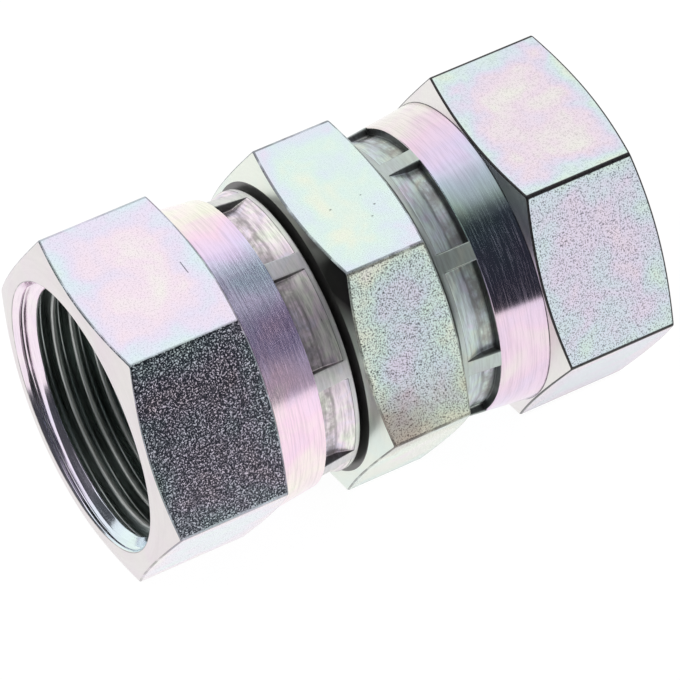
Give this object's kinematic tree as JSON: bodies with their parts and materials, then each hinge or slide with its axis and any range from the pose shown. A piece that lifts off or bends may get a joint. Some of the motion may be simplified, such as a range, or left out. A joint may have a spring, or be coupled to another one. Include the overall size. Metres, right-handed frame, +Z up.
{
  "type": "hydraulic double swivel nipple",
  "caption": "Straight hydraulic nipple with a middle hexagon and a crimped-on swivel union nut at each end, cone noses inside the nuts and a flow bore right through.",
  "frame": {"origin": "on the surface the fitting lies on, under the middle of its overall length", "axes": "+X along the fitting's axis from the left nut to the right nut, +Z up out of the top flats of the hexagons"},
  "size_m": [0.0676, 0.0438, 0.038],
  "materials": {
    "nipple_zinc": "bright zinc plating on turned and drawn steel, with a pale rainbow passivation",
    "left_nut_zinc": "bright zinc plating on turned and drawn steel, with a pale rainbow passivation",
    "right_nut_zinc": "bright zinc plating on turned and drawn steel, with a pale rainbow passivation"
  },
  "bodies": {
    "nipple": {"nipple_body": "nipple_zinc"},
    "left_nut": {"left_swivel_nut": "left_nut_zinc"},
    "right_nut": {"right_swivel_nut": "right_nut_zinc"}
  },
  "joints": [
    {"name": "left_nut_swivel", "type": "hinge", "parent": "nipple", "child": "left_nut", "pos_m": [-0.02035, 0, 0.019], "axis": [1, 0, 0], "continuous": true},
    {"name": "right_nut_swivel", "type": "hinge", "parent": "nipple", "child": "right_nut", "pos_m": [0.02035, 0, 0.019], "axis": [1, 0, 0], "continuous": true}
  ]
}
